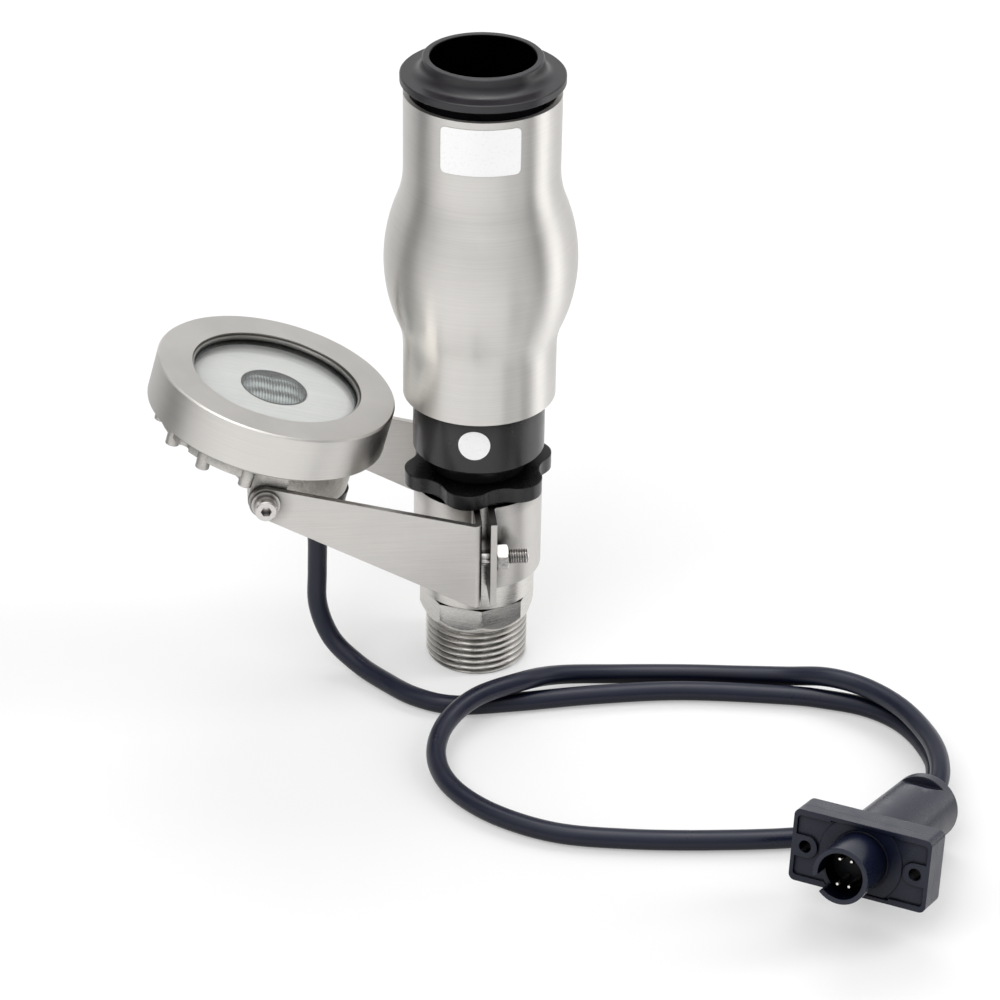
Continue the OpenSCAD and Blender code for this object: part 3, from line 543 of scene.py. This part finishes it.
class Graph:
    """A node tree and short ways to add to it."""

    def __init__(self, tree):
        self.tree = tree

    def node(self, kind, **settings):
        made = self.tree.nodes.new(kind)
        for name, value in settings.items():
            setattr(made, name, value)
        return made

    def link(self, a, b):
        self.tree.links.new(a, b)

    def feed(self, socket, value):
        """Links a socket to the output given, or sets it to a plain value."""
        if isinstance(value, bpy.types.NodeSocket):
            self.link(value, socket)
        else:
            socket.default_value = value

    def math(self, operation, a, b):
        """The result of an operation on two values."""
        made = self.node("ShaderNodeMath", operation=operation)
        self.feed(made.inputs[0], a)
        self.feed(made.inputs[1], b)
        return made.outputs[0]

    def length(self, vector):
        made = self.node("ShaderNodeVectorMath", operation="LENGTH")
        self.link(vector, made.inputs[0])
        return made.outputs["Value"]

    def spread(self, value, low, high, start=NOISE_LOW, end=NOISE_HIGH, **settings):
        """Maps start to end onto low to high, level beyond both ends."""
        made = self.node("ShaderNodeMapRange", **settings)
        for name, number in (("From Min", start), ("From Max", end), ("To Min", low),
                             ("To Max", high)):
            made.inputs[name].default_value = number
        self.link(value, made.inputs["Value"])
        return made.outputs["Result"]

    def mix(self, a, b, share, kind="FLOAT", **settings):
        """A blend of two values or two colours by a share of the second."""
        made = self.node("ShaderNodeMix", data_type=kind, **settings)
        inputs, output = MIX_SOCKETS[kind]
        for number, value in zip(inputs, (share, a, b)):
            self.feed(made.inputs[number], value)
        return made.outputs[output]

    def shader_mix(self, a, b, share):
        made = self.node("ShaderNodeMixShader")
        for socket, value in zip(made.inputs, (share, a, b)):
            self.link(value, socket)
        return made.outputs[0]

    def ramp(self, value, stops):
        """Colours by a value from 0 to 1, from (position, colour) stops."""
        made = self.node("ShaderNodeValToRGB")
        elements = made.color_ramp.elements
        while len(elements) < len(stops):
            elements.new(1)
        for element, (position, color) in zip(elements, stops):
            element.position = position
            element.color = (*color, 1)
        self.link(value, made.inputs["Fac"])
        return made.outputs["Color"]


class Finish(Graph):
    """A node material under construction: a principled shader and what feeds it."""

    def __init__(self, name, color, roughness, **sockets):
        self.material = bpy.data.materials.new(name)
        self.material.use_nodes = True
        super().__init__(self.material.node_tree)
        self.shader = self.tree.nodes["Principled BSDF"]
        self.color = color
        self.shader.inputs["Base Color"].default_value = (*color, 1)
        self.shader.inputs["Roughness"].default_value = roughness
        for socket, value in sockets.items():
            self.shader.inputs[socket.replace("_", " ")].default_value = value
        self.normal = None

    def coordinates(self, scale, place=None):
        """The piece's own coordinates in millimetres, times a scale for each axis.

        They are those of a turned frame if its place is given.
        """
        source = self.node("ShaderNodeTexCoord").outputs["Object"]
        if place is not None:
            turn = self.node("ShaderNodeMapping", vector_type="TEXTURE")
            turn.inputs["Location"].default_value = place.translation * MM
            turn.inputs["Rotation"].default_value = place.to_euler()
            self.link(source, turn.inputs["Vector"])
            source = turn.outputs["Vector"]
        stretch = self.node("ShaderNodeMapping", vector_type="POINT")
        stretch.inputs["Scale"].default_value = [s / MM for s in scale]
        self.link(source, stretch.inputs["Vector"])
        return stretch.outputs["Vector"]

    def noise(self, scale, place=None, detail=3, roughness=0.55):
        texture = self.node("ShaderNodeTexNoise")
        texture.inputs["Scale"].default_value = 1
        texture.inputs["Detail"].default_value = detail
        texture.inputs["Roughness"].default_value = roughness
        self.link(self.coordinates(scale, place), texture.inputs["Vector"])
        return texture.outputs["Fac"]

    def radius(self, place=None):
        """Distance in millimetres from the Z axis of the piece, or of a turned frame."""
        return self.length(self.coordinates((1, 1, 0), place))

    def tint(self, value, dark, light):
        colors = self.ramp(value, [(NOISE_LOW, dark), (NOISE_HIGH, light)])
        self.link(colors, self.shader.inputs["Base Color"])

    def shade(self, value, contrast):
        """Varies the base colour a little to both sides."""
        dark = [c * (1 - contrast) for c in self.color]
        light = [min(1, c * (1 + contrast)) for c in self.color]
        self.tint(value, dark, light)

    def gloss(self, value, low, high):
        self.link(self.spread(value, low, high), self.shader.inputs["Roughness"])

    def paint_shade(self, amount, sheen=0.5):
        """Scales the base colour and the sheen by an amount from 0 to 1, as painted shade."""
        color = self.shader.inputs["Base Color"]
        self.link(self.mix(BLACK, color.links[0].from_socket, amount, "RGBA"), color)
        self.link(self.math("MULTIPLY", amount, sheen), self.shader.inputs["Specular IOR Level"])

    def unshaded_share(self, reach, power):
        """1 on free surfaces, falling where other surfaces stand within reach: where shade is
        painted.
        """
        near = self.node("ShaderNodeAmbientOcclusion", samples=OPENNESS_SAMPLES)
        near.inputs["Distance"].default_value = reach * MM
        return self.math("POWER", near.outputs["AO"], power)

    def soft_edges(self, radius):
        bevel = self.node("ShaderNodeBevel", samples=EDGE_SAMPLES)
        bevel.inputs["Radius"].default_value = radius * MM
        self.normal = bevel.outputs["Normal"]
        self.link(self.normal, self.shader.inputs["Normal"])

    def relief(self, value, depth):
        bump = self.node("ShaderNodeBump")
        bump.inputs["Strength"].default_value = 1
        bump.inputs["Distance"].default_value = depth * MM
        self.link(value, bump.inputs["Height"])
        if self.normal is not None:
            self.link(self.normal, bump.inputs["Normal"])
        self.normal = bump.outputs["Normal"]
        self.link(self.normal, self.shader.inputs["Normal"])

    def surface(self, shader):
        self.link(shader, self.tree.nodes["Material Output"].inputs["Surface"])


def even(scale):
    return scale, scale, scale


def brushed_steel(name, color, roughness, grain, place=None, contrast=0.06, edge=0.3,
                  depth=0.004, turned=0.0, reach=2.5, power=1.0):
    """Satin steel; grain gives the fineness of its lines along each axis, per millimetre.

    A turned piece has its lines round the Z axis, so what it mirrors is drawn out along that axis.
    """
    steel = Finish(name, color, roughness, Metallic=1.0, Anisotropic=turned,
                   Anisotropic_Rotation=0.25)
    if turned:
        around = steel.node("ShaderNodeTangent", direction_type="RADIAL", axis="Z")
        steel.link(around.outputs["Tangent"], steel.shader.inputs["Tangent"])
    lines = steel.noise(grain, place, detail=4, roughness=0.7)
    cloud = steel.noise(even(0.06), place)
    both = steel.mix(lines, cloud, 0.35)
    steel.shade(both, contrast)
    steel.gloss(both, roughness - 0.05, roughness + 0.06)
    # Painted shade: colour and sheen darkened where other surfaces stand close
    steel.paint_shade(steel.unshaded_share(reach, power))
    if edge:
        steel.soft_edges(edge)
    steel.relief(lines, depth)
    return steel.material


def blasted_steel(name, color, roughness):
    """Cast or blasted steel with a fine grain and soft blotches."""
    steel = Finish(name, color, roughness, Metallic=1.0)
    grain = steel.noise(even(1.6), detail=4)
    blotch = steel.noise(even(0.25))
    both = steel.mix(grain, blotch, 0.5)
    steel.shade(both, contrast=0.25)
    steel.gloss(both, roughness - 0.06, roughness + 0.08)
    # Painted shade: colour and sheen darkened where other surfaces stand close
    steel.paint_shade(steel.unshaded_share(reach=4, power=1.3))
    steel.soft_edges(0.4)
    steel.relief(grain, depth=0.16)
    return steel.material


def bright_steel(name, color, roughness):
    """Smooth steel with faint marks."""
    steel = Finish(name, color, roughness, Metallic=1.0)
    marks = steel.noise(even(1.5), detail=5)
    steel.shade(marks, contrast=0.08)
    steel.gloss(marks, roughness - 0.05, roughness + 0.08)
    # Painted shade: colour and sheen darkened where other surfaces stand close
    steel.paint_shade(steel.unshaded_share(reach=1.5, power=1.5))
    steel.soft_edges(0.2)
    return steel.material


def moulded_plastic(name, color, roughness, grain=3.0, edge=0.4, depth=0.006, reach=8, power=1.0,
                    sheen=0.5, bore=0):
    """Moulded plastic with a fine grain, slightly uneven gloss and painted shade near other
    surfaces.

    A bore is the radius of a way through it that is painted dark inside, as painted shade.
    """
    plastic = Finish(name, color, roughness)
    fine = plastic.noise(even(grain))
    cloud = plastic.noise(even(0.12))
    plastic.shade(plastic.mix(fine, cloud, 0.6), contrast=0.1)
    plastic.gloss(cloud, roughness - 0.05, roughness + 0.06)
    # Painted shade: colour and sheen darkened near other surfaces, and inside the bore if one is
    # given
    free = plastic.unshaded_share(reach, power)
    if bore:
        outside = plastic.spread(plastic.radius(), 0.03, 1, start=bore - 0.1, end=bore + 0.1)
        free = plastic.math("MULTIPLY", free, outside)
    plastic.paint_shade(free, sheen)
    plastic.soft_edges(edge)
    plastic.relief(fine, depth)
    return plastic.material


WINDOW_R = 26.5


def plate_material():
    """Pale lacquered sheet with fine lines along its length, darkened towards its rim by a painted
    shadow of the bezel.
    """
    plate = Finish("plate_brushed", (0.7, 0.695, 0.68), 0.45, Metallic=0.3)
    lines = plate.noise((0.03, 1.6, 1), LAMP, detail=5, roughness=0.75)
    plate.shade(lines, contrast=0.1)
    plate.gloss(lines, 0.4, 0.5)
    # Painted shadow of the bezel over the plate near its rim
    plate.paint_shade(plate.spread(plate.radius(LAMP), 1, 0.08, start=WINDOW_R - 3, end=WINDOW_R + 2.5))
    plate.relief(lines, depth=0.004)
    return plate.material


def lens_material():
    """Clear glass, a little green, with painted shade in a dark ring at its rim, that lets lamp
    light through.
    """
    glass = Finish("glass", (0.975, 0.985, 0.982), 0.0, Transmission_Weight=1.0, IOR=1.5)
    # Painted shade: a thin dark green ring where the glass meets the bezel's lip
    middle = glass.spread(glass.radius(LAMP), 1, 0, start=WINDOW_R - 0.75, end=WINDOW_R - 0.3)
    glass.tint(middle, (0.03, 0.06, 0.05), glass.color)
    glass.gloss(glass.noise(even(0.05)), 0.0, 0.03)
    path = glass.node("ShaderNodeLightPath").outputs
    passing = glass.math("MAXIMUM", path["Is Shadow Ray"], path["Is Diffuse Ray"])
    clear = glass.node("ShaderNodeBsdfTransparent")
    clear.inputs["Color"].default_value = (0.93, 0.94, 0.935, 1)
    glass.surface(glass.shader_mix(glass.shader.outputs[0], clear.outputs[0], passing))
    return glass.material


# The optic's middle tone, and how much painted light and shade its ribs and lenses add to both
# sides of it
OPTIC_TONE = 0.45
RIB_PAINTED_SHADING = 0.16
LENS_PAINTED_SHADING = 0.24
# Shift of the lenses' painted highlights in radians, which makes one edge of each the bright one
PAINTED_HIGHLIGHT_SHIFT = 0.3


def optic_material():
    """Four ribbed lenses with painted light and shade: dark middles, a bright edge each, a shaded
    rim.
    """
    plastic = Finish("optic", (0.3, 0.34, 0.33), 0.14)
    quarter = plastic.node("ShaderNodeVectorMath", operation="ABSOLUTE")
    plastic.link(plastic.coordinates((1, 1, 0), LAMP), quarter.inputs[0])
    reach = plastic.node("ShaderNodeVectorMath", operation="DISTANCE")
    plastic.link(quarter.outputs[0], reach.inputs[0])
    reach.inputs[1].default_value = (LENS_AT * math.sqrt(0.5), LENS_AT * math.sqrt(0.5), 0)
    # Painted light and shade over the lenses: lit and shaded lines along the ribs and a bright edge
    # on each lens
    inside = plastic.spread(reach.outputs["Value"], 1, 0.35, start=2.5, end=5.5)
    waves = plastic.node("ShaderNodeSeparateXYZ")
    lens_pitch = LENS_AT * math.sqrt(2)
    turns = plastic.coordinates((FULL_TURN / RIB_PITCH, FULL_TURN / lens_pitch, 1), LAMP)
    plastic.link(turns, waves.inputs[0])
    ribs = plastic.math("MULTIPLY", plastic.math("SINE", waves.outputs["X"], 0), RIB_PAINTED_SHADING)
    shifted = plastic.math("SUBTRACT", waves.outputs["Y"], PAINTED_HIGHLIGHT_SHIFT)
    lenses = plastic.math("MULTIPLY", plastic.math("COSINE", shifted, 0), LENS_PAINTED_SHADING)
    painted_light_and_shade = plastic.math("MULTIPLY", plastic.math("ADD", ribs, lenses), inside)
    cloud = plastic.noise(even(0.5), LAMP)
    tone = plastic.mix(plastic.math("ADD", painted_light_and_shade, OPTIC_TONE), cloud, 0.2)
    plastic.tint(tone, (0.01, 0.014, 0.014), (0.4, 0.45, 0.44))
    # Painted shade round the rim, where the plate's hole meets the optic
    rim = plastic.spread(plastic.radius(LAMP), 1, 0.08, start=OPTIC_R - 1.1, end=OPTIC_R - 0.5)
    plastic.paint_shade(rim, sheen=0.25)
    plastic.gloss(cloud, 0.1, 0.2)
    return plastic.material


def board_material(name, color):
    board = Finish(name, color, 0.4)
    board.shade(board.noise(even(2)), contrast=0.12)
    return board.material


def paper_material():
    paper = Finish("sticker_white", (0.94, 0.94, 0.94), 0.3, Coat_Weight=0.3)
    fibre = paper.noise(even(1.2), detail=5)
    paper.shade(fibre, contrast=0.008)
    paper.gloss(fibre, 0.25, 0.35)
    return paper.material


ROUND_GRAIN = (0.025, 0.025, 2.6)
# Reach and power set how far and how strongly shade is painted into a finish near other surfaces;
# the cap's bore is painted dark inside as shade
materials = {
    "jacket": brushed_steel("steel_jacket", (0.78, 0.76, 0.73), 0.36, ROUND_GRAIN, contrast=0.07,
                            edge=0, depth=0.005, turned=0.9),
    "sheet": brushed_steel("steel_sheet", (0.64, 0.62, 0.595), 0.36, (0.05, 3, 2.5), contrast=0.1,
                           reach=6, power=2.2),
    "base": brushed_steel("steel_base", (0.7, 0.68, 0.645), 0.28, (0.08, 0.08, 2.5), contrast=0.08,
                          edge=0.2, reach=1.6, power=1.4),
    "bezel": brushed_steel("steel_bezel", (0.7, 0.68, 0.65), 0.33, ROUND_GRAIN, LAMP, edge=0.25,
                           power=3),
    "cast": blasted_steel("steel_cast", (0.6, 0.58, 0.55), 0.38),
    "bright": bright_steel("steel_bright", (0.66, 0.64, 0.62), 0.18),
    "plate": plate_material(),
    "cap": moulded_plastic("plastic_cap", (0.011, 0.009, 0.012), 0.32, depth=0.004, reach=3,
                           sheen=0.65, bore=16.4),
    "collar": moulded_plastic("plastic_collar", (0.02, 0.019, 0.02), 0.22, reach=7, power=1.5),
    "black": moulded_plastic("plastic_black", (0.013, 0.013, 0.014), 0.26, edge=0.7, reach=12,
                             power=2),
    "seal": moulded_plastic("rubber_seal", (0.02, 0.02, 0.02), 0.6, edge=0.2),
    "glass": lens_material(),
    "optic": optic_material(),
    "emitter": board_material("emitter", (0.85, 0.75, 0.3)),
    "board": board_material("board_white", (0.8, 0.8, 0.78)),
    "driver": board_material("board_green", (0.03, 0.16, 0.07)),
    "cable": moulded_plastic("rubber_cable", (0.007, 0.009, 0.023), 0.32, grain=2.0, edge=0,
                             depth=0.01, sheen=0.4),
    "plug": moulded_plastic("plastic_plug", (0.0035, 0.006, 0.021), 0.28, grain=4.0, edge=0.5,
                            depth=0.01, reach=30, power=1.3),
    "insert": moulded_plastic("plastic_insert", (0.008, 0.009, 0.012), 0.5, edge=0.1),
    "pin": bright_steel("pin_metal", (0.8, 0.78, 0.74), 0.12),
    "paper": paper_material(),
}

NODE_FINISH = {
    "jacket": ["jacket"],
    "sheet": ["fork_bracket", "clamp_strap"],
    "bezel": ["bezel_ring"],
    "cast": ["rear_housing"],
    "bright": ["housing_screws", "pivot_screws", "pivot_washers"],
    "plate": ["reflector_plate"],
    "cap": ["outlet_tube"],
    "collar": ["nozzle_sleeve", "jet_nozzle"],
    "black": ["star_lock_nut", "cable_gland", "gland_nut"],
    "seal": ["neck_seal", "nut_gasket", "jet_seal", "jacket_seal", "lens_gasket", "housing_seal"],
    "glass": ["lens_glass"],
    "emitter": ["led_chips"],
    "board": ["led_board"],
    "driver": ["driver_board"],
    "cable": ["cable_tail"],
    "plug": ["plug_boot", "plug_flange", "plug_shroud"],
    "insert": ["plug_insert"],
    "pin": ["plug_pins"],
}
PIECE_FINISH = [
    (cable, "cable"), (base, "base"), (optic, "optic"), (jacket_sticker, "paper"),
    (collar_sticker, "paper"), *((fastener, "bright") for fastener in fasteners)
]
SHARP_EDGE = 30


def paint(piece, finish):
    piece.data.materials.clear()
    piece.data.materials.append(materials[finish])


def dress(node, finish):
    """Gives a CAD node its finish and smooth shading across the seams between its faces."""
    piece = nodes[node]
    paint(piece, finish)
    normals = piece.data.attributes.get("custom_normal")
    if normals:
        piece.data.attributes.remove(normals)
    piece.data.shade_smooth()
    weld = piece.modifiers.new("weld", "WELD")
    weld.merge_threshold = WELD
    split = piece.modifiers.new("split", "EDGE_SPLIT")
    split.split_angle = math.radians(SHARP_EDGE)


for finish, members in NODE_FINISH.items():
    for member in members:
        dress(member, finish)
for piece, finish in PIECE_FINISH:
    paint(piece, finish)


# Studio: a white floor that keeps the shadow, soft lamps, and the darker stretches metal mirrors

CAMERA_SIDE = math.radians(-95.5)
# Tone of the surroundings by degrees to the right of the camera, from the back round to the back
SURROUNDINGS = [
    (-180, 0.85), (-140, 0.7), (-113, 0.54), (-97, 0.26), (-86, 0.32), (-74, 0.78), (-55, 0.97),
    (-40, 1.02), (-20, 0.99), (0, 0.98), (35, 0.88), (60, 0.68), (75, 0.25), (84, 0.9), (93, 1.4),
    (101, 1.3), (115, 0.78), (140, 0.7), (180, 0.85)
]
# Brightness by height, from the horizon to overhead, on the camera's side and behind the object
FRONT_RISE = [(0, 0.42), (0.3, 0.58), (0.65, 0.9), (0.86, 1.3), (0.97, 2.4)]
BACK_RISE = [
    (0, 1.7), (0.14, 1.3), (0.3, 0.88), (0.48, 0.68), (0.7, 1.0), (0.86, 1.8), (0.97, 6)
]
# The one changes into the other over this much of a direction's length on both sides
RISE_CHANGE = 0.35
PALE = (0.92, 0.92, 0.92, 1)
FLOOR_REACH = 3000
# Metal mirrors the floor nearly as it is up to the first distance from the middle, and in the
# full tone of the surroundings from the second
NEAR_FLOOR = 110
FAR_FLOOR = 280
NEAR_TONE = 0.15
FLOOR_GLOW = 0.33
SOFT_LIGHT = 0.52
MIDDLE = Vector((0, 0, 90))
# Place, width, height and power in watts
LAMPS = {
    "key": ((-700, -800, 1300), 1100, 1100, 12),
    "side": ((1000, -50, 700), 300, 1000, 5),
    "back": ((100, 900, 1200), 1000, 700, 7),
}


def grey(stops):
    return [(position, even(tone)) for position, tone in stops]


def surroundings(graph, source):
    """Tone of the studio in a direction round the object."""
    turn = graph.node("ShaderNodeMapping", vector_type="POINT")
    turn.inputs["Rotation"].default_value = (0, 0, -CAMERA_SIDE)
    graph.link(source, turn.inputs["Vector"])
    angle = graph.node("ShaderNodeTexGradient", gradient_type="RADIAL")
    graph.link(turn.outputs["Vector"], angle.inputs["Vector"])
    stops = [(0.5 + degrees / 360, tone) for degrees, tone in SURROUNDINGS]
    return graph.ramp(angle.outputs["Fac"], grey(stops))


def floor_material():
    finish = Finish("floor", PALE[:3], 1)
    path = finish.node("ShaderNodeLightPath").outputs
    place = finish.node("ShaderNodeTexCoord").outputs["Object"]
    far = finish.spread(finish.length(place), NEAR_TONE, 1, start=NEAR_FLOOR * MM,
                        end=FAR_FLOOR * MM, interpolation_type="SMOOTHSTEP")
    share = finish.math("MULTIPLY", path["Is Glossy Ray"], far)
    tone = finish.mix(PALE, surroundings(finish, place), share, "RGBA", blend_type="MULTIPLY")
    finish.shader.inputs["Specular IOR Level"].default_value = 0
    white = finish.node("ShaderNodeEmission")
    white.inputs["Strength"].default_value = 1 / PALE[0]
    for socket in (finish.shader.inputs["Base Color"], white.inputs["Color"]):
        finish.link(tone, socket)
    seen = finish.math("MAXIMUM", path["Is Camera Ray"], path["Is Glossy Ray"])
    seen = finish.math("MAXIMUM", seen, path["Is Transmission Ray"])
    glow = finish.math("MULTIPLY", seen, FLOOR_GLOW)
    finish.surface(finish.shader_mix(finish.shader.outputs[0], white.outputs[0], glow))
    return finish.material


def add_floor():
    corners = [(x * FLOOR_REACH, y * FLOOR_REACH, 0)
               for x, y in ((-1, -1), (1, -1), (1, 1), (-1, 1))]
    floor = add_mesh("floor", corners, [(0, 1, 2, 3)])
    floor.data.materials.append(floor_material())


def add_world():
    """Even light from all round, white where it is seen, in the studio's tones in metal."""
    world = bpy.data.worlds.new("studio")
    scene.world = world
    world.use_nodes = True
    graph = Graph(world.node_tree)
    path = graph.node("ShaderNodeLightPath").outputs
    soft = graph.tree.nodes["Background"]
    soft.inputs["Color"].default_value = WHITE
    soft.inputs["Strength"].default_value = SOFT_LIGHT
    mirrored = graph.node("ShaderNodeBackground")
    direction = graph.node("ShaderNodeTexCoord").outputs["Generated"]
    graph.link(surroundings(graph, direction), mirrored.inputs["Color"])
    along = graph.node("ShaderNodeSeparateXYZ")
    graph.link(direction, along.inputs[0])
    behind = graph.spread(along.outputs["Y"], 0, 1, start=-RISE_CHANGE, end=RISE_CHANGE,
                          interpolation_type="SMOOTHSTEP")
    front, back = (graph.ramp(along.outputs["Z"], grey(stops)) for stops in (FRONT_RISE, BACK_RISE))
    graph.link(graph.mix(front, back, behind, "RGBA"), mirrored.inputs["Strength"])
    white = graph.node("ShaderNodeBackground")
    white.inputs["Color"].default_value = WHITE
    lit = graph.shader_mix(soft.outputs[0], mirrored.outputs[0], path["Is Glossy Ray"])
    seen = graph.math("MAXIMUM", path["Is Camera Ray"], path["Is Transmission Ray"])
    surface = graph.shader_mix(lit, white.outputs[0], seen)
    graph.link(surface, graph.tree.nodes["World Output"].inputs["Surface"])


def add_lamp(name, place, width, height, power):
    """A soft lamp that faces the object; metal mirrors the studio's tones, not the lamp itself."""
    data = bpy.data.lights.new(name, "AREA")
    data.shape = "RECTANGLE"
    data.size = width * MM
    data.size_y = height * MM
    data.energy = power
    lamp = bpy.data.objects.new(name, data)
    scene.collection.objects.link(lamp)
    lamp.location = Vector(place) * MM
    lamp.rotation_euler = (MIDDLE - Vector(place)).to_track_quat("-Z", "Y").to_euler()
    lamp.visible_glossy = False


add_floor()
add_world()
for lamp_name, lamp_facts in LAMPS.items():
    add_lamp(lamp_name, *lamp_facts)
scene.view_settings.view_transform = "Standard"
